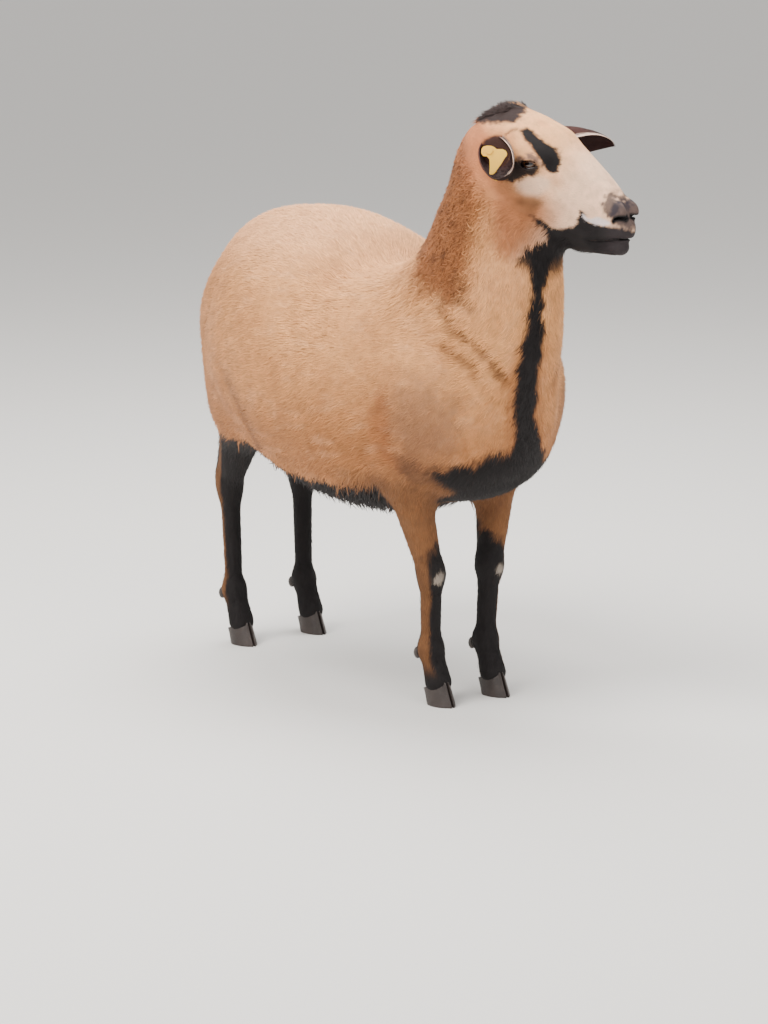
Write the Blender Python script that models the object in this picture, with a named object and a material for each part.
"""A Cameroon sheep, a hornless ewe that stands with her head up and turned to her left, as a still model.

Metres, with X forward, Y to her left and Z up. One signed field gives the form of her whole skin. Each node
is cut from its surface by thin planes, and hooves, eyes, ears, tail and ear tag are set on it.
"""
import bmesh
import bpy
import numpy as np
from mathutils import Matrix

# Torso: at each station along X, the heights of back and belly, the half width and the height where it is
# widest, and how squared its sections are
TORSO_X = (-0.300, -0.282, -0.240, -0.180, -0.100, -0.010, 0.060, 0.120, 0.170, 0.225, 0.275, 0.305)
TORSO_TOP = (0.540, 0.588, 0.622, 0.641, 0.647, 0.628, 0.582, 0.590, 0.597, 0.583, 0.540, 0.460)
TORSO_BELLY = (0.450, 0.395, 0.350, 0.315, 0.277, 0.252, 0.246, 0.251, 0.264, 0.287, 0.312, 0.370)
TORSO_HALF = (0.030, 0.070, 0.112, 0.156, 0.190, 0.203, 0.197, 0.182, 0.158, 0.130, 0.095, 0.050)
TORSO_WIDEST = (0.490, 0.490, 0.480, 0.460, 0.440, 0.427, 0.418, 0.412, 0.408, 0.405, 0.405, 0.405)
BODY_SQUARE = 2.0
BRISKET = ((0.234, 0.0, 0.374), (0.088, 0.116, 0.088))
GROIN = ((-0.205, 0.0, 0.354), (0.050, 0.044, 0.034))

# Legs: joint centres on the right side
FORE_SHOULDER = (0.222, -0.088, 0.430)
FORE_ELBOW = (0.180, -0.082, 0.335)
FORE_KNEE = (0.203, -0.050, 0.178)
FORE_FETLOCK = (0.199, -0.047, 0.074)
FORE_HOOF = (0.216, -0.047, 0.030)
HIND_HIP = (-0.180, -0.078, 0.480)
HIND_STIFLE = (-0.158, -0.098, 0.385)
HIND_HOCK = (-0.258, -0.064, 0.232)
HIND_FETLOCK = (-0.252, -0.062, 0.078)
HIND_HOOF = (-0.234, -0.062, 0.032)
KNEE_SIZE = (0.0205, 0.0195, 0.027)
FORE_FETLOCK_SIZE = (0.0185, 0.0175, 0.019)
HOCK_SIZE = (0.0215, 0.0175, 0.031)
HIND_FETLOCK_SIZE = (0.0190, 0.0175, 0.020)
HEEL = (-0.014, 0.0, 0.020)
THIGH_BACK = (-0.050, 0.018, -0.020)
THIGH_STRING = (-0.052, 0.015, -0.070)

# Neck: at each height, where its front and back lie along X, its half width and how far it leans to the left
NECK_Z = (0.340, 0.400, 0.460, 0.520, 0.580, 0.640, 0.700, 0.745, 0.780, 0.803)
NECK_FRONT = (0.300, 0.340, 0.366, 0.378, 0.381, 0.374, 0.366, 0.356, 0.340, 0.315)
NECK_BACK = (0.130, 0.080, 0.083, 0.107, 0.139, 0.169, 0.199, 0.222, 0.246, 0.275)
NECK_HALF = (0.070, 0.094, 0.098, 0.092, 0.083, 0.074, 0.064, 0.054, 0.040, 0.014)
NECK_LEAN = (0.000, 0.000, 0.000, 0.000, 0.000, 0.002, 0.006, 0.009, 0.010, 0.010)

# Head: its frame runs forward along the face (u), to its left (v) and up out of the forehead (w), from the
# poll
HEAD_POLL = (0.288, 0.010, 0.800)
HEAD_TURN = 16.0
HEAD_DROP = 27.0
HEAD_U = (-0.030, -0.010, 0.020, 0.050, 0.085, 0.115, 0.150, 0.181, 0.203, 0.219, 0.230)
HEAD_TOP = (-0.045, -0.016, 0.004, 0.017, 0.0215, 0.0150, 0.0075, -0.001, -0.0105, -0.022, -0.036)
HEAD_JAW = (-0.100, -0.122, -0.135, -0.142, -0.140, -0.132, -0.118, -0.101, -0.085, -0.071, -0.056)
HEAD_HALF = (0.020, 0.036, 0.044, 0.048, 0.046, 0.038, 0.031, 0.0275, 0.0255, 0.020, 0.010)
HEAD_WIDE = (-0.060, -0.050, -0.045, -0.042, -0.045, -0.045, -0.043, -0.040, -0.038, -0.040, -0.044)
HEAD_SQUARE = 2.3

# The head's smaller forms on its left: a middle and three radii, or two ends and the radius at each
BROW_BONE = ((0.080, 0.0365, -0.017), (0.026, 0.0125, 0.015))
CHEEKBONE = ((0.085, 0.0370, -0.047), (0.135, 0.0260, -0.056), 0.009, 0.007)
CHEEK = ((0.050, 0.0280, -0.090), (0.046, 0.0185, 0.040))
NOSTRIL_WING = ((0.2115, 0.0145, -0.026), (0.016, 0.0100, 0.013))
UPPER_LIP = ((0.178, 0.0, -0.066), (0.2235, 0.0, -0.0475), 0.0250, 0.0178)
LOWER_LIP = ((0.175, 0.0, -0.091), (0.2315, 0.0, -0.0690), 0.0178, 0.0122)
EAR_BUTT = ((0.021, 0.037, -0.038), (0.017, 0.018, 0.017))

EYE_AT = (0.083, 0.0350, -0.029)
EYE_RADIUS = 0.0135
LID_DEPTH = 0.0026
MOUTH_FRONT = (0.2500, 0.0000, -0.0475)
MOUTH_CORNER = (0.1950, 0.0000, -0.0780)
MOUTH_GAP = 0.0016
NOSTRIL_AT = (0.2230, 0.0150, -0.0305)
NOSTRIL_LOOK = (0.66, 0.73, 0.18)
NOSTRIL_ALONG = (-0.70, 0.62, -0.35)
NOSTRIL_DEPTH = 0.014
NOSTRIL_OUTLINE = ((-0.0105, 0.0012), (-0.0080, -0.0022), (-0.0020, -0.0036), (0.0040, -0.0034),
                   (0.0090, -0.0008), (0.0108, 0.0032), (0.0096, 0.0058), (0.0078, 0.0026),
                   (0.0040, 0.0008), (-0.0020, 0.0016), (-0.0070, 0.0034))
EAR_AT = {-1: (0.0219, 0.0358, -0.0421), 1: (0.020, 0.044, -0.034)}

# Eyes: the way that they look, the line between their corners, and how far the lids are open
EYE_LOOK = (0.22, 0.97, 0.10)
EYE_CORNERS = (0.87, 0.00, 0.50)
EYE_OPEN_HALF = 0.0118
EYE_OPEN_UP = 0.0058
EYE_OPEN_DOWN = 0.0048
EYE_POINTED = 0.35

# Ears, right (-1) and left (1): how far each turns forward and droops in degrees, and the way that its cup
# faces, as parts ahead, outward and up
EAR_FORWARD = {-1: 42.0, 1: 40.0}
EAR_DROOP = {-1: 10.0, 1: 3.0}
EAR_FACES = {-1: (-0.25, 0.35, 0.85), 1: (0.70, -0.30, -0.75)}
EAR_LENGTH = 0.115
EAR_SAG = 0.006

# Along each ear, the half width, how far round the cup reaches in degrees, and the thickness
EAR_ALONG = (-0.120, 0.000, 0.120, 0.300, 0.500, 0.700, 0.860, 0.950, 1.000)
EAR_HALF = (0.0100, 0.0130, 0.0175, 0.0215, 0.0225, 0.0200, 0.0140, 0.0080, 0.0025)
EAR_SPREAD = (155.0, 152.0, 145.0, 128.0, 106.0, 84.0, 66.0, 54.0, 45.0)
EAR_THICK = (0.0090, 0.0080, 0.0050, 0.0036, 0.0034, 0.0030, 0.0025, 0.0020, 0.0014)
EAR_UNDER = 0.80

# Ear tag, in the right ear's cup: where its stud is, the way that its plate faces, its pin and button, and
# the outline of the plate round the stud
TAG_AT = 0.55
TAG_ACROSS = -0.0128
TAG_UP = 0.0112
TAG_AHEAD = 0.0130
TAG_FACES = (0.760, -0.600, 0.250)
TAG_THICK = 0.0016
TAG_MILLIMETRE = 0.00101
TAG_PIN = (0.30, -0.80, -1.00)
TAG_STEM = 0.0438
TAG_STEM_RADIUS = 0.0022
TAG_BOSS = (-0.0024, 0.0022, 0.0050)
TAG_BUTTON = (0.0024, 0.0056)
TAG_BUTTON_END = (0.0020, 0.0050, 0.0042)
TAG_OUTLINE = ((2.0, -30.4), (5.4, -30.4), (7.6, -28.6), (15.7, -17.0), (20.3, -9.2), (22.6, -6.6),
               (23.0, -3.3), (21.0, 0.0), (17.0, 1.6), (9.8, 1.6), (7.2, 4.0), (3.3, 5.8),
               (-2.6, 6.0), (-7.2, 4.6), (-9.2, 1.3), (-9.4, -3.3), (-6.6, -7.3), (-2.6, -7.2),
               (0.7, -10.5), (1.3, -14.4), (1.3, -23.6), (0.9, -29.4))

# Tail: its middle line from the root down to the tip, and its radius
TAIL_SHARE = (0.00, 0.10, 0.30, 0.60, 0.85, 1.00)
TAIL_X = (-0.262, -0.286, -0.309, -0.317, -0.313, -0.306)
TAIL_Z = (0.590, 0.583, 0.540, 0.450, 0.370, 0.320)
TAIL_RADIUS = (0.0200, 0.0190, 0.0165, 0.0140, 0.0110, 0.0050)
TAIL_FLAT = (1.15, 0.85)

# Hooves: the sole of one claw from the cleft outward, how it leans back, and the coronet where skin begins
CLAW_SOLE = ((-0.0160, 0.0000), (0.0250, 0.0000), (0.0245, 0.0035), (0.0190, 0.0095), (0.0100, 0.0140),
             (0.0000, 0.0160), (-0.0095, 0.0150), (-0.0155, 0.0095))
CLAW_LEVELS = (0.0, 0.35, 0.70, 1.0)
CLAW_LEAN = 0.011
CLAW_CLEFT = 0.0014
HOOF_FORWARD = 0.006
CORONET_HEIGHT = 0.028
CORONET_SLOPE = 0.35
DEWCLAW_SIZE = (0.0060, 0.0052, 0.0085)
DEWCLAW_AT = (-0.0170, 0.0095, -0.0080)

# Cuts between the nodes: the gap, a point and a direction for each plane, and the room round each leg
GAP = 0.0003
HEAD_CUT = (0.300, 0.000, 0.705)
HEAD_CUT_UP = (0.610, 0.000, 0.790)
NECK_CUT = (0.240, 0.000, 0.518)
NECK_CUT_UP = (0.632, 0.000, 0.776)
WEDGE_LOW = {"fore": (0.128, -0.200, -0.050), "hind": (-0.360, -0.200, -0.050)}
WEDGE_HIGH = {"fore": (0.310, -0.004, 0.380), "hind": (-0.115, -0.004, 0.380)}
WEDGE_AT = {"fore": (0.190, -0.030, 0.238), "hind": (-0.120, 0.000, 0.290)}
WEDGE_DOWN = {"fore": (0.300, -0.950, -1.000), "hind": (-0.300, 0.000, -1.000)}
LEG_CUT = {"fore": 0.148, "hind": 0.192}
LEGS = {
    "fore": {"fetlock": FORE_FETLOCK, "hoof": FORE_HOOF},
    "hind": {"fetlock": HIND_FETLOCK, "hoof": HIND_HOOF},
}

# How finely each node's surface is read from the field, and how many triangles it keeps
HEAD_GRID = 0.0024
NECK_GRID = 0.0080
TORSO_GRID = 0.0100
LEG_GRID = 0.0045
HEAD_TRIANGLES = 3400
NECK_TRIANGLES = 900
TORSO_TRIANGLES = 2900
LEG_TRIANGLES = {"fore": 760, "hind": 820}
HEAD_LOW = (0.170, -0.080, 0.585)
HEAD_HIGH = (0.560, 0.140, 0.850)
NECK_LOW = (0.040, -0.160, 0.380)
NECK_HIGH = (0.420, 0.160, 0.800)
TORSO_LOW = (-0.330, -0.230, 0.230)
TORSO_HIGH = (0.420, 0.230, 0.680)


def smooth_min(a, b, k):
    h = np.maximum(k - np.abs(a - b), 0.0) / k
    return np.minimum(a, b) - h * h * k * 0.25


def unit(v):
    v = np.asarray(v, float)
    return v / np.linalg.norm(v)


def smooth_curve(xs, ys, at):
    """The height at each place given of a smooth curve through (xs, ys) that never overshoots its points."""
    xs = np.asarray(xs, float)
    ys = np.asarray(ys, float)
    run = np.diff(xs)
    rise = np.diff(ys) / run
    slope = np.zeros_like(ys)
    both = rise[:-1] * rise[1:]
    total = np.where(rise[:-1] + rise[1:] == 0.0, 1.0, rise[:-1] + rise[1:])
    slope[1:-1] = np.where(both > 0.0, 2.0 * both / total, 0.0)
    slope[0] = rise[0]
    slope[-1] = rise[-1]
    i = np.clip(np.searchsorted(xs, at) - 1, 0, len(run) - 1)
    t = np.clip((at - xs[i]) / run[i], 0.0, 1.0)
    s = t * t * (3.0 - 2.0 * t)
    bend = t * (1.0 - t) * run[i]
    return ys[i] * (1.0 - s) + ys[i + 1] * s + bend * (slope[i] * (1.0 - t) - slope[i + 1] * t)


def ellipsoid(p, centre, radii):
    q = p - np.asarray(centre, float)
    r = np.asarray(radii, float)
    k0 = np.sqrt(((q / r) ** 2).sum(1))
    k1 = np.sqrt(((q / (r * r)) ** 2).sum(1))
    return k0 * (k0 - 1.0) / np.maximum(k1, 1e-6)


def limb(p, a, b, ra, rb, flat=1.0):
    """A length from a to b with round ends, as thick as ra and rb there; flat narrows it across, along Y."""
    narrow = np.array((1.0, 1.0 / flat, 1.0))
    a = np.asarray(a, float) * narrow
    d = np.asarray(b, float) * narrow - a
    q = p * narrow - a
    length2 = d @ d
    thinner = ra - rb
    slope2 = length2 - thinner * thinner
    y = q @ d
    z = y - length2
    x2 = ((q * length2 - y[:, None] * d) ** 2).sum(1)
    y2 = y * y * length2
    z2 = z * z * length2
    k = np.sign(thinner) * thinner * thinner * x2
    side = (np.sqrt(x2 * slope2 / length2) + y * thinner) / length2 - ra
    far_end = np.sqrt(x2 + z2) / length2 - rb
    near_end = np.sqrt(x2 + y2) / length2 - ra
    found = np.where(np.sign(y) * slope2 * y2 < k, near_end, side)
    return np.where(np.sign(z) * slope2 * z2 > k, far_end, found)


def loft(p, along, up, stations, top, bottom, half, widest, power):
    """A body whose cross sections change along one axis, with its own back, belly, width and squareness."""
    x = p[:, along]
    high = smooth_curve(stations, top, x)
    low = smooth_curve(stations, bottom, x)
    wide = smooth_curve(stations, half, x)
    mid = smooth_curve(stations, widest, x)
    dz = p[:, up] - mid
    h = np.where(dz > 0.0, high - mid, mid - low)
    a = np.abs(p[:, 1]) / wide
    b = np.abs(dz) / h
    k0 = (a ** power + b ** power) ** (1.0 / power)
    k1 = np.sqrt((a / wide) ** 2 + (b / h) ** 2)
    d = k0 * (k0 - 1.0) / np.maximum(k1, 1e-6)
    past = np.maximum(stations[0] - x, x - stations[-1])
    return np.where(past > 0.0, np.sqrt(np.maximum(d, 0.0) ** 2 + past ** 2), np.maximum(d, past))


def only_near(p, low, high, reach, field):
    """The field for points within reach of a box, and for others the distance to the box, which will do."""
    away = np.maximum(np.maximum(np.asarray(low) - p, p - np.asarray(high)), 0.0)
    away = np.sqrt((away * away).sum(1))
    close = away < reach
    out = away + reach
    if close.any():
        out[close] = field(p[close])
    return out


def head_axes():
    turn = np.radians(HEAD_TURN)
    drop = np.radians(HEAD_DROP)
    forward = np.array((np.cos(turn) * np.cos(drop), np.sin(turn) * np.cos(drop), -np.sin(drop)))
    left = np.array((-np.sin(turn), np.cos(turn), 0.0))
    return np.array((forward, left, np.cross(forward, left)))


def to_head(p):
    return (p - np.asarray(HEAD_POLL)) @ head_axes().T


def from_head(q):
    return np.asarray(HEAD_POLL) + np.asarray(q, float) @ head_axes()


def torso_form(p):
    d = loft(p, 0, 2, TORSO_X, TORSO_TOP, TORSO_BELLY, TORSO_HALF, TORSO_WIDEST, BODY_SQUARE)
    d = smooth_min(d, ellipsoid(p, *BRISKET), 0.05)
    return smooth_min(d, ellipsoid(p, *GROIN), 0.03)


def neck_form(p):
    q = p.copy()
    q[:, 1] -= smooth_curve(NECK_Z, NECK_LEAN, p[:, 2])
    middle = tuple(0.5 * (a + b) for a, b in zip(NECK_FRONT, NECK_BACK))
    return loft(q, 2, 0, NECK_Z, NECK_FRONT, NECK_BACK, NECK_HALF, middle, BODY_SQUARE)


def fore_form(p):
    d = limb(p, FORE_SHOULDER, FORE_ELBOW, 0.072, 0.046, 0.62)
    d = smooth_min(d, limb(p, FORE_ELBOW, FORE_KNEE, 0.036, 0.0185, 0.88), 0.030)
    d = smooth_min(d, ellipsoid(p, FORE_KNEE, KNEE_SIZE), 0.010)
    d = smooth_min(d, limb(p, FORE_KNEE, FORE_FETLOCK, 0.0160, 0.0140), 0.008)
    d = smooth_min(d, ellipsoid(p, FORE_FETLOCK, FORE_FETLOCK_SIZE), 0.010)
    return smooth_min(d, limb(p, FORE_FETLOCK, FORE_HOOF, 0.0150, 0.0190), 0.010)


def hind_form(p):
    hip = np.array(HIND_HIP)
    hock = np.array(HIND_HOCK)
    heel = hock + HEEL
    d = limb(p, hip, HIND_STIFLE, 0.088, 0.066, 0.68)
    d = smooth_min(d, limb(p, hip + THIGH_BACK, HIND_STIFLE, 0.058, 0.056, 0.68), 0.05)
    d = smooth_min(d, limb(p, HIND_STIFLE, hock, 0.054, 0.0185, 0.68), 0.04)
    d = smooth_min(d, limb(p, hip + THIGH_STRING, heel, 0.035, 0.0105, 0.72), 0.03)
    d = smooth_min(d, ellipsoid(p, hock, HOCK_SIZE), 0.015)
    d = smooth_min(d, limb(p, hock, HIND_FETLOCK, 0.0165, 0.0140, 0.9), 0.012)
    d = smooth_min(d, ellipsoid(p, HIND_FETLOCK, HIND_FETLOCK_SIZE), 0.010)
    return smooth_min(d, limb(p, HIND_FETLOCK, HIND_HOOF, 0.0150, 0.0190), 0.010)


def head_form(p):
    q = to_head(p)
    d = loft(q, 0, 2, HEAD_U, HEAD_TOP, HEAD_JAW, HEAD_HALF, HEAD_WIDE, HEAD_SQUARE)
    q[:, 1] = np.abs(q[:, 1])
    d = smooth_min(d, ellipsoid(q, *BROW_BONE), 0.012)
    d = smooth_min(d, limb(q, *CHEEKBONE), 0.018)
    d = smooth_min(d, ellipsoid(q, *CHEEK), 0.020)
    d = smooth_min(d, ellipsoid(q, EYE_AT, (EYE_RADIUS + LID_DEPTH,) * 3), 0.007)
    d = smooth_min(d, ellipsoid(q, *NOSTRIL_WING), 0.008)
    d = smooth_min(d, limb(q, *UPPER_LIP), 0.008)
    d = smooth_min(d, limb(q, *LOWER_LIP), 0.006)
    return smooth_min(d, ellipsoid(q, *EAR_BUTT), 0.015)


def flesh(p):
    """The whole skin's form, without ears, tail and hooves."""
    m = p * (1.0, -1.0, 1.0)
    d = only_near(p, (-0.31, -0.22, 0.24), (0.34, 0.22, 0.66), 0.10, torso_form)
    d = smooth_min(d, only_near(p, (0.05, -0.11, 0.28), (0.39, 0.11, 0.83), 0.10, neck_form), 0.05)
    d = smooth_min(d, only_near(p, (0.24, -0.07, 0.58), (0.56, 0.14, 0.84), 0.05, head_form), 0.03)
    for q in (p, m):
        d = smooth_min(d, only_near(q, (0.12, -0.16, 0.0), (0.32, -0.02, 0.52), 0.05, fore_form), 0.03)
        d = smooth_min(d, only_near(q, (-0.31, -0.16, 0.0), (-0.07, -0.02, 0.60), 0.06, hind_form), 0.03)
    return d


def gradient(field, p, step=0.0005):
    slopes = []
    for axis in np.eye(3) * step:
        slopes.append((field(p + axis) - field(p - axis)) / (2.0 * step))
    return np.stack(slopes, 1)


def settle(field, p, rounds=2, longest=0.003):
    """Moves points along the field's slope until they lie on its surface."""
    for _ in range(rounds):
        slope = gradient(field, p)
        move = -field(p)[:, None] * slope / np.maximum((slope * slope).sum(1), 1e-9)[:, None]
        size = np.sqrt((move * move).sum(1))[:, None]
        p = p + move * np.minimum(1.0, longest / np.maximum(size, 1e-12))
    return p


def corner_values(values, corner):
    """The values at one corner of every cell of a grid."""
    i, j, k = (slice(first, size - 1 + first) for first, size in zip(corner, values.shape))
    return values[i, j, k]


def skin_of(field, low, high, step):
    """Points and four-cornered faces of the field's surface inside a box, closed where the box cuts it."""
    low = np.asarray(low, float)
    count = np.ceil((np.asarray(high) - low) / step).astype(int) + 1
    axes = [low[i] + step * np.arange(count[i]) for i in range(3)]
    grid = np.stack(np.meshgrid(*axes, indexing="ij"), -1).reshape(-1, 3)
    values = field(grid).reshape(count)
    values = np.pad(values, 1, constant_values=step)
    low = low - step
    corners = [(i, j, k) for i in (0, 1) for j in (0, 1) for k in (0, 1)]
    inside = values < 0.0
    full = sum(corner_values(inside, c).astype(int) for c in corners)
    cell = (full > 0) & (full < 8)
    where = np.argwhere(cell)
    index = np.full(cell.shape, -1)
    index[cell] = np.arange(len(where))
    total = np.zeros((len(where), 3))
    hits = np.zeros(len(where))
    for corner in corners:
        for axis in range(3):
            if corner[axis]:
                continue
            other = list(corner)
            other[axis] = 1
            here = corner_values(values, corner)[cell]
            there = corner_values(values, other)[cell]
            crossed = (here < 0.0) != (there < 0.0)
            share = np.where(crossed, here / np.where(crossed, here - there, 1.0), 0.0)
            point = where + np.asarray(corner, float)
            point[:, axis] += share
            total += point * crossed[:, None]
            hits += crossed
    points = low + step * total / hits[:, None]
    faces = []
    for axis in range(3):
        first, second = [i for i in range(3) if i != axis]
        start = [slice(None)] * 3
        end = [slice(None)] * 3
        start[axis] = slice(0, -1)
        end[axis] = slice(1, None)
        edge = np.argwhere(inside[tuple(start)] != inside[tuple(end)])
        ring = []
        for a, b in ((-1, -1), (0, -1), (0, 0), (-1, 0)):
            near = edge.copy()
            near[:, first] += a
            near[:, second] += b
            ring.append(index[near[:, 0], near[:, 1], near[:, 2]])
        ring = np.stack(ring, 1)
        outward = inside[tuple(start)][edge[:, 0], edge[:, 1], edge[:, 2]]
        if axis == 1:
            outward = ~outward
        ring[~outward] = ring[~outward][:, ::-1]
        faces.append(ring)
    return points, np.concatenate(faces)


def clear_scene():
    for obj in list(bpy.data.objects):
        bpy.data.objects.remove(obj, do_unlink=True)


def material(name, colour, roughness, metallic=0.0):
    made = bpy.data.materials.new(name)
    made.use_nodes = True
    shader = made.node_tree.nodes["Principled BSDF"]
    shader.inputs["Base Color"].default_value = (*colour, 1.0)
    shader.inputs["Roughness"].default_value = roughness
    shader.inputs["Metallic"].default_value = metallic
    made.diffuse_color = (*colour, 1.0)
    return made


def solid(name, points, faces):
    mesh = bpy.data.meshes.new(name)
    corners = [tuple(int(i) for i in face) for face in faces]
    mesh.from_pydata([tuple(p) for p in np.asarray(points, float)], [], corners)
    mesh.validate()
    work = bmesh.new()
    work.from_mesh(mesh)
    bmesh.ops.recalc_face_normals(work, faces=work.faces)
    work.to_mesh(mesh)
    work.free()
    obj = bpy.data.objects.new(name, mesh)
    bpy.context.scene.collection.objects.link(obj)
    return obj


def applied(obj):
    """Turns an object's modifiers into its mesh."""
    graph = bpy.context.evaluated_depsgraph_get()
    mesh = bpy.data.meshes.new_from_object(obj.evaluated_get(graph))
    obj.modifiers.clear()
    old = obj.data
    obj.data = mesh
    bpy.data.meshes.remove(old)
    return obj


def thinned(obj, triangles):
    """Fewer, larger triangles over the same form."""
    count = sum(len(f.vertices) - 2 for f in obj.data.polygons)
    modifier = obj.modifiers.new("Fewer", "DECIMATE")
    modifier.ratio = min(1.0, triangles / count)
    modifier.use_collapse_triangulate = True
    return applied(obj)


def is_closed(mesh):
    work = bmesh.new()
    work.from_mesh(mesh)
    closed = len(work.faces) > 0 and all(edge.is_manifold for edge in work.edges)
    work.free()
    return closed


def joined(obj, other, operation):
    """A Boolean of two closed meshes, left in the first. Where one solver leaves a hole, another is used."""
    before = obj.data.copy()
    for solver in ("EXACT", "MANIFOLD"):
        modifier = obj.modifiers.new("Join", "BOOLEAN")
        modifier.operation = operation
        modifier.solver = solver
        modifier.object = other
        applied(obj)
        if is_closed(obj.data):
            break
        obj.data = before
    bpy.data.objects.remove(other, do_unlink=True)
    return obj


def largest_piece(obj):
    """Keeps the largest closed surface of a mesh."""
    work = bmesh.new()
    work.from_mesh(obj.data)
    bmesh.ops.triangulate(work, faces=work.faces)
    left = set(work.verts)
    pieces = []
    while left:
        piece = {left.pop()}
        edge = list(piece)
        while edge:
            vert = edge.pop()
            for link in vert.link_edges:
                near = link.other_vert(vert)
                if near in left:
                    left.discard(near)
                    piece.add(near)
                    edge.append(near)
        pieces.append(piece)
    keep = max(pieces, key=len)
    bmesh.ops.delete(work, geom=[v for v in work.verts if v not in keep], context="VERTS")
    bmesh.ops.recalc_face_normals(work, faces=work.faces)
    work.to_mesh(obj.data)
    work.free()
    return obj


def block(centre, size, axes=None):
    """A box with its middle at centre, turned to three axes."""
    axes = np.eye(3) if axes is None else np.asarray(axes, float)
    signs = [(i, j, k) for i in (-1, 1) for j in (-1, 1) for k in (-1, 1)]
    points = [np.asarray(centre) + (np.array(s) * np.asarray(size) * 0.5) @ axes for s in signs]
    faces = ((0, 1, 3, 2), (4, 6, 7, 5), (0, 4, 5, 1), (2, 3, 7, 6), (0, 2, 6, 4), (1, 5, 7, 3))
    return solid("block", points, faces)


def half_space(point, normal, reach=1.2):
    """A large block that fills the side of a plane that its normal points to."""
    n = unit(normal)
    across = unit(np.cross(n, (0.0, 1.0, 0.0)) if abs(n[1]) < 0.9 else np.cross(n, (1.0, 0.0, 0.0)))
    return block(np.asarray(point) + n * reach * 0.5, (reach,) * 3, (n, across, np.cross(n, across)))


def keep_side(obj, point, normal):
    """Cuts an object by a plane and keeps the side that the normal points to, half a gap off the plane."""
    n = unit(normal)
    return joined(obj, half_space(np.asarray(point) + n * GAP * 0.5, n), "INTERSECT")


def grown(obj, by):
    """A copy of an object whose surface lies farther out, as a cutter for what meets it."""
    copy = bpy.data.objects.new("grown", obj.data.copy())
    bpy.context.scene.collection.objects.link(copy)
    mesh = copy.data
    normals = np.empty(len(mesh.vertices) * 3)
    mesh.vertex_normals.foreach_get("vector", normals)
    points = np.empty(len(mesh.vertices) * 3)
    mesh.vertices.foreach_get("co", points)
    mesh.vertices.foreach_set("co", points + normals * by)
    mesh.update()
    return copy


def flesh_node(name, low, high, step, triangles):
    points, faces = skin_of(flesh, low, high, step)
    points = settle(flesh, points)
    return thinned(solid(name, points, faces), triangles)


def out_of_head(side, place):
    """World axes of a place given in the head's frame on its left, for its left (1) or right side (-1)."""
    return from_head(np.asarray(place, float) * (1.0, side, 1.0))


def cylinder(start, end, radius, sides=16):
    start = np.asarray(start, float)
    axis = unit(np.asarray(end) - start)
    across = unit(np.cross(axis, (0.31, 0.27, 0.91)))
    other = np.cross(axis, across)
    turns = 2.0 * np.pi * np.arange(sides) / sides
    ring = radius * (np.cos(turns)[:, None] * across + np.sin(turns)[:, None] * other)
    points = np.concatenate([start + ring, np.asarray(end) + ring])
    faces = [[i, (i + 1) % sides, sides + (i + 1) % sides, sides + i] for i in range(sides)]
    faces += [list(range(sides))[::-1], list(range(sides, 2 * sides))]
    return solid("cylinder", points, faces)


def prism(centre, outline, right, up, depth):
    """A flat plate with the given outline, whose middle plane is spanned by right and up."""
    outline = np.asarray(outline, float)
    normal = np.cross(right, up)
    flat = np.asarray(centre) + outline[:, :1] * right + outline[:, 1:] * up
    points = np.concatenate([flat - normal * depth * 0.5, flat + normal * depth * 0.5])
    n = len(outline)
    faces = [[i, (i + 1) % n, n + (i + 1) % n, n + i] for i in range(n)]
    faces += [list(range(n))[::-1], list(range(n, 2 * n))]
    return solid("prism", points, faces)


def ball(centre, radius):
    mesh = bpy.data.meshes.new("ball")
    work = bmesh.new()
    bmesh.ops.create_icosphere(work, subdivisions=3, radius=radius)
    bmesh.ops.translate(work, verts=work.verts, vec=tuple(centre))
    work.to_mesh(mesh)
    work.free()
    obj = bpy.data.objects.new("ball", mesh)
    bpy.context.scene.collection.objects.link(obj)
    return obj


def eye_axes(side):
    """The way that an eye looks, the line between its corners, and up across its lids."""
    look = unit(EYE_LOOK * np.array((1.0, side, 1.0)))
    corners = np.asarray(EYE_CORNERS) * (1.0, side, 1.0)
    corners = unit(corners - look * (corners @ look))
    return look @ head_axes(), corners @ head_axes(), np.cross(look, corners) @ head_axes() * side


def eye_opening(side):
    """A cutter with the almond outline between the lids, from inside the eyeball out through the skin."""
    look, corners, up = eye_axes(side)
    turns = 2.0 * np.pi * np.arange(16) / 16
    tall = np.where(np.sin(turns) > 0.0, EYE_OPEN_UP, EYE_OPEN_DOWN)
    high = tall * np.sin(turns) * np.abs(np.sin(turns)) ** EYE_POINTED
    outline = np.stack([EYE_OPEN_HALF * np.cos(turns), high], 1)
    middle = out_of_head(side, EYE_AT) + look * EYE_RADIUS * 1.4
    return prism(middle, outline, corners, up, EYE_RADIUS * 1.7)


def nostril_cutter(side):
    """A comma-shaped cutter for one nostril."""
    look = unit(np.array(NOSTRIL_LOOK) * (1.0, side, 1.0))
    along = np.array(NOSTRIL_ALONG) * (1.0, side, 1.0)
    along = unit(along - look * (along @ look))
    up = np.cross(look, along) * -side
    axes = head_axes()
    return prism(out_of_head(side, NOSTRIL_AT), NOSTRIL_OUTLINE, along @ axes, up @ axes, NOSTRIL_DEPTH)


def mouth_cutter():
    """A thin wedge between the lips, from in front of them to the corner of the mouth."""
    front = out_of_head(1, MOUTH_FRONT)
    corner = out_of_head(1, MOUTH_CORNER)
    along = unit(front - corner)
    length = np.linalg.norm(front - corner)
    outline = ((0.0, -0.2 * MOUTH_GAP), (length, -0.5 * MOUTH_GAP), (length, 0.5 * MOUTH_GAP),
               (0.0, 0.2 * MOUTH_GAP))
    across = head_axes()[1]
    return prism(corner, outline, along, np.cross(across, along) * -1.0, 0.10)


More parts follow.
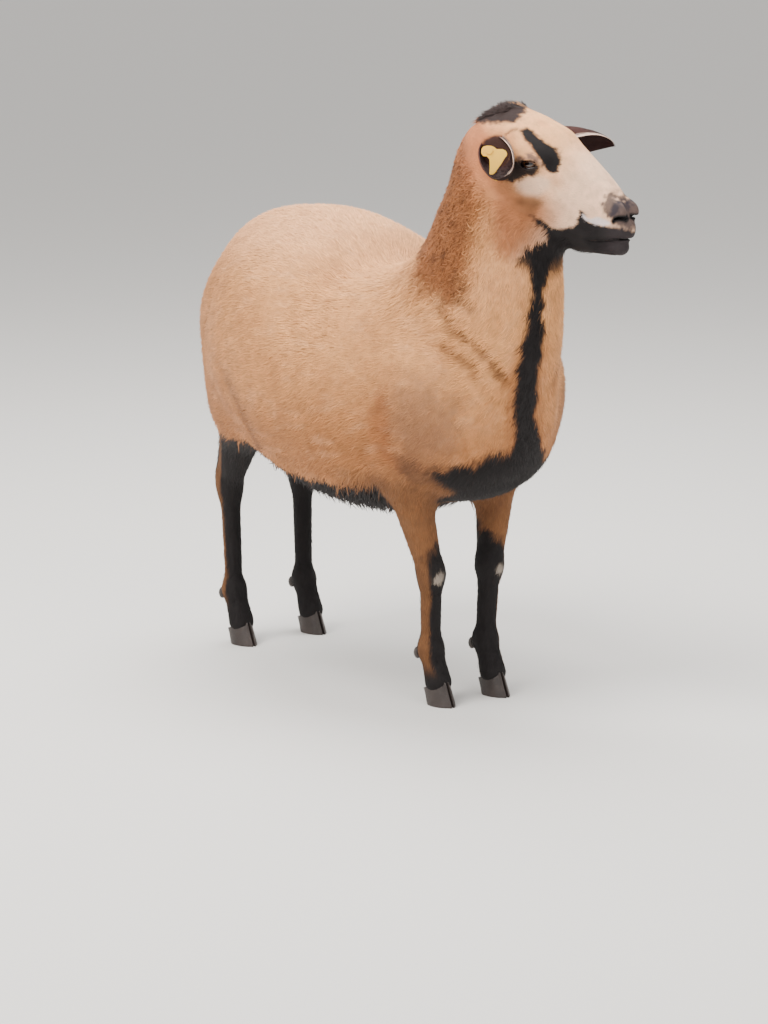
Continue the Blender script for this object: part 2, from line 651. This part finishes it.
def ear_axes(side):
    """The way that an ear points, the way across it, and the way that its cup faces."""
    turn = np.radians(HEAD_TURN + side * (90.0 - EAR_FORWARD[side]))
    droop = np.radians(EAR_DROOP[side])
    out = np.array((np.cos(turn) * np.cos(droop), np.sin(turn) * np.cos(droop), -np.sin(droop)))
    ahead = np.radians(HEAD_TURN)
    forward = np.array((np.cos(ahead), np.sin(ahead), 0.0))
    outward = np.array((-np.sin(ahead), np.cos(ahead), 0.0)) * side
    faces = np.array(EAR_FACES[side]) @ np.stack([forward, outward, (0.0, 0.0, 1.0)])
    faces = unit(faces - out * (out @ faces))
    return out, np.cross(faces, out), faces


def ear_place(side, along, around, depth):
    """A point of the ear: its share of the length, the angle round the cup, and how deep under its back."""
    out, across, faces = ear_axes(side)
    width = smooth_curve(EAR_ALONG, EAR_HALF, along)
    spread = np.radians(smooth_curve(EAR_ALONG, EAR_SPREAD, along))
    bend = width / np.sin(np.minimum(spread, 0.5 * np.pi))
    thick = smooth_curve(EAR_ALONG, EAR_THICK, along) * (1.0 - 0.55 * around * around)
    radius = np.maximum(bend - thick * depth, bend * 0.12)
    angle = spread * around
    lift = bend - width * EAR_UNDER
    place = out_of_head(side, EAR_AT[side]) + np.multiply.outer(along * EAR_LENGTH, out)
    place = place + np.multiply.outer(radius * np.sin(angle), across)
    place = place + np.multiply.outer(lift - radius * np.cos(angle), faces)
    place[..., 2] -= EAR_SAG * along * np.abs(along)
    return place


def ear_shell(side, rows=13, columns=13):
    along = np.linspace(EAR_ALONG[0], EAR_ALONG[-1], rows)[:, None] * np.ones(columns)
    around = np.ones((rows, 1)) * np.linspace(-1.0, 1.0, columns)
    outer = ear_place(side, along, around, 0.0).reshape(-1, 3)
    inner = ear_place(side, along, around, 1.0).reshape(-1, 3)
    n = rows * columns
    faces = []
    for i in range(rows - 1):
        for j in range(columns - 1):
            a = i * columns + j
            faces.append([a, a + 1, a + columns + 1, a + columns])
            faces.append([n + a, n + a + columns, n + a + columns + 1, n + a + 1])
    for i in range(rows - 1):
        a = i * columns
        b = a + columns - 1
        faces.append([a, a + columns, n + a + columns, n + a])
        faces.append([b, n + b, n + b + columns, b + columns])
    for j in range(columns - 1):
        b = (rows - 1) * columns + j
        faces.append([j, n + j, n + j + 1, j + 1])
        faces.append([b, b + 1, n + b + 1, n + b])
    shell = solid("ear", np.concatenate([outer, inner]), faces)
    return largest_piece(shell)


def joint_of(leg, side, name):
    return np.asarray(LEGS[leg][name]) * (1.0, -side, 1.0)


def leg_wedge(leg, side, more):
    """A closed block that holds one leg up to where it leaves the body, grown by a margin."""
    low = np.array(WEDGE_LOW[leg]) - more
    high = np.array(WEDGE_HIGH[leg]) + more
    if side > 0:
        low[1], high[1] = -high[1], -low[1]
    room = block((low + high) * 0.5, high - low)
    point = np.array(WEDGE_AT[leg]) * (1.0, -side, 1.0)
    down = unit(np.array(WEDGE_DOWN[leg]) * (1.0, -side, 1.0))
    return joined(room, half_space(point - down * more, down), "INTERSECT")


def leg_nodes(leg, side):
    label = leg + ("_left" if side > 0 else "_right")
    low = np.array(WEDGE_LOW[leg]) - 0.012
    high = np.array(WEDGE_HIGH[leg]) + 0.012
    if side > 0:
        low[1], high[1] = -high[1], -low[1]
    whole = flesh_node("leg_" + label, low, high, LEG_GRID, LEG_TRIANGLES[leg])
    joined(whole, leg_wedge(leg, side, -GAP * 0.5), "INTERSECT")
    hoof = joint_of(leg, side, "hoof") + (HOOF_FORWARD, 0.0, 0.0)
    coronet = np.array((hoof[0], hoof[1], CORONET_HEIGHT))
    keep_side(whole, coronet, (-CORONET_SLOPE, 0.0, 1.0))
    cut = np.array((0.0, 0.0, LEG_CUT[leg]))
    lower = bpy.data.objects.new("lower_leg_" + label, whole.data.copy())
    bpy.context.scene.collection.objects.link(lower)
    keep_side(whole, cut, (0.0, 0.0, 1.0))
    keep_side(lower, cut, (0.0, 0.0, -1.0))
    largest_piece(whole)
    largest_piece(lower)
    whole.name = "upper_leg_" + label
    made = [whole, lower]
    for way in (-1, 1):
        made.append(claw("claw_" + label + ("_outer" if way * side > 0 else "_inner"), hoof, way))
        made.append(dewclaw("dewclaw_" + label + ("_outer" if way * side > 0 else "_inner"),
                            joint_of(leg, side, "fetlock"), way, lower))
    return made


def claw(name, hoof, way):
    """One half of a hoof, with a flat sole on the floor; way is its side of the cleft, along Y."""
    sole = np.array(CLAW_SOLE)
    n = len(sole)
    points = []
    for h in CLAW_LEVELS:
        x = sole[:, 0] * (1.0 - 0.15 * h) - CLAW_LEAN * h
        y = (CLAW_CLEFT + sole[:, 1] * (1.0 - 0.08 * h)) * way
        z = h * (CORONET_HEIGHT - GAP + CORONET_SLOPE * x)
        points.append(np.stack([hoof[0] + x, hoof[1] + y, z], 1))
    faces = []
    for level in range(len(CLAW_LEVELS) - 1):
        a = level * n
        faces += [[a + i, a + (i + 1) % n, a + n + (i + 1) % n, a + n + i] for i in range(n)]
    faces += [list(range(n)), list(range(a + n, a + 2 * n))]
    return solid(name, np.concatenate(points), faces)


def dewclaw(name, fetlock, way, lower_leg):
    made = ball((0.0, 0.0, 0.0), 1.0)
    made.name = name
    work = bmesh.new()
    bmesh.ops.create_icosphere(work, subdivisions=2, radius=1.0)
    work.to_mesh(made.data)
    work.free()
    points = np.array([v.co for v in made.data.vertices]) * DEWCLAW_SIZE
    points += fetlock + np.array(DEWCLAW_AT) * (1.0, way, 1.0)
    made.data.vertices.foreach_set("co", points.reshape(-1))
    return largest_piece(joined(made, grown(lower_leg, GAP), "DIFFERENCE"))


def tail_node(torso):
    points = []
    faces = []
    sides = 10
    heights = np.linspace(0.0, 1.0, 12)
    centres = np.stack([smooth_curve(TAIL_SHARE, TAIL_X, heights), 0.0 * heights,
                        smooth_curve(TAIL_SHARE, TAIL_Z, heights)], 1)
    sizes = smooth_curve(TAIL_SHARE, TAIL_RADIUS, heights)
    for i in range(len(heights)):
        ahead = unit(centres[min(i + 1, len(heights) - 1)] - centres[max(i - 1, 0)])
        across = np.array((0.0, 1.0, 0.0))
        other = np.cross(ahead, across)
        for turn in 2.0 * np.pi * np.arange(sides) / sides:
            spoke = TAIL_FLAT[0] * np.cos(turn) * across + TAIL_FLAT[1] * np.sin(turn) * other
            points.append(centres[i] + sizes[i] * spoke)
    for i in range(len(heights) - 1):
        a = i * sides
        for j in range(sides):
            k = (j + 1) % sides
            faces.append([a + j, a + k, a + sides + k, a + sides + j])
    faces += [list(range(sides))[::-1], list(range(a + sides, a + 2 * sides))]
    tail = largest_piece(solid("tail", points, faces))
    return largest_piece(joined(tail, grown(torso, GAP), "DIFFERENCE"))


def tag_nodes(ear, side):
    """The ear tag: its plate and stem in one piece in the ear's cup, and its button on the ear's back."""
    out, across, faces = ear_axes(side)
    normal = unit(TAG_FACES)
    up = unit(np.array((0.0, 0.0, 1.0)) - normal * normal[2])
    right = np.cross(up, normal)
    stud = out_of_head(side, EAR_AT[side]) + out * EAR_LENGTH * TAG_AT
    stud = stud + right * TAG_ACROSS + up * TAG_UP + normal * TAG_AHEAD
    plate = prism(stud, np.array(TAG_OUTLINE) * TAG_MILLIMETRE, right, up, TAG_THICK)
    plate.name = "tag_plate"
    joined(plate, cylinder(stud + normal * TAG_BOSS[0], stud + normal * TAG_BOSS[1], TAG_BOSS[2]), "UNION")
    pin = unit(np.array(TAG_PIN) @ np.stack([right, up, normal]))
    end = stud + pin * TAG_STEM
    joined(plate, cylinder(end, stud, TAG_STEM_RADIUS, 12), "UNION")
    joined(ear, cylinder(end + pin * 0.004, stud + pin * 0.004, TAG_STEM_RADIUS + GAP, 12), "DIFFERENCE")
    near = end + pin * GAP
    button = cylinder(near + pin * TAG_BUTTON[0], near, TAG_BUTTON[1], 20)
    button.name = "tag_button"
    low, high, radius = TAG_BUTTON_END
    joined(button, cylinder(near + pin * high, near + pin * low, radius, 12), "UNION")
    return [plate, button]


def main():
    clear_scene()
    hide = material("short coat", (0.60, 0.33, 0.17), 0.85)
    dark = material("black coat", (0.020, 0.017, 0.018), 0.80)
    horn = material("hoof horn", (0.035, 0.030, 0.028), 0.45)
    wet = material("eye", (0.16, 0.09, 0.03), 0.05)
    plastic = material("tag plastic", (0.85, 0.62, 0.10), 0.40)

    head = flesh_node("head", HEAD_LOW, HEAD_HIGH, HEAD_GRID, HEAD_TRIANGLES)
    keep_side(head, HEAD_CUT, HEAD_CUT_UP)
    neck = flesh_node("neck", NECK_LOW, NECK_HIGH, NECK_GRID, NECK_TRIANGLES)
    keep_side(neck, HEAD_CUT, -np.array(HEAD_CUT_UP))
    keep_side(neck, NECK_CUT, NECK_CUT_UP)
    torso = flesh_node("torso", TORSO_LOW, TORSO_HIGH, TORSO_GRID, TORSO_TRIANGLES)
    keep_side(torso, NECK_CUT, -np.array(NECK_CUT_UP))
    legs = []
    for leg in ("fore", "hind"):
        for side in (-1, 1):
            joined(torso, leg_wedge(leg, side, GAP * 0.5), "DIFFERENCE")
            legs += leg_nodes(leg, side)
    for part in (head, neck, torso):
        largest_piece(part)
    tail = tail_node(torso)
    eyes = []
    ears = []
    for side, word in ((-1, "right"), (1, "left")):
        joined(head, ball(out_of_head(side, EYE_AT), EYE_RADIUS + GAP), "DIFFERENCE")
        joined(head, eye_opening(side), "DIFFERENCE")
        joined(head, nostril_cutter(side), "DIFFERENCE")
        eye = ball(out_of_head(side, EYE_AT), EYE_RADIUS)
        eye.name = "eye_" + word
        eyes.append(eye)
    joined(head, mouth_cutter(), "DIFFERENCE")
    largest_piece(head)
    for side, word in ((-1, "right"), (1, "left")):
        ear = joined(ear_shell(side), grown(head, GAP), "DIFFERENCE")
        ear.name = "ear_" + word
        ears.append(largest_piece(ear))
    tags = tag_nodes(ears[0], -1)

    for obj in (head, neck, torso, tail, *ears):
        obj.data.materials.append(hide)
    for obj in legs:
        obj.data.materials.append(horn if "claw" in obj.name else dark)
    for obj in eyes:
        obj.data.materials.append(wet)
    for obj in tags:
        obj.data.materials.append(plastic)
    for obj in list(bpy.data.objects):
        obj.data.shade_smooth()
        obj.data.set_sharp_from_angle(angle=np.radians(50.0))
    stand_on_origin()


def stand_on_origin():
    """Moves everything so that the origin is under the middle of its box, on the floor."""
    boxes = []
    for obj in bpy.data.objects:
        boxes += [v.co[:2] for v in obj.data.vertices]
    boxes = np.array(boxes)
    middle = (boxes.min(0) + boxes.max(0)) * 0.5
    for obj in bpy.data.objects:
        obj.data.transform(Matrix.Translation((-middle[0], -middle[1], 0.0)))


main()
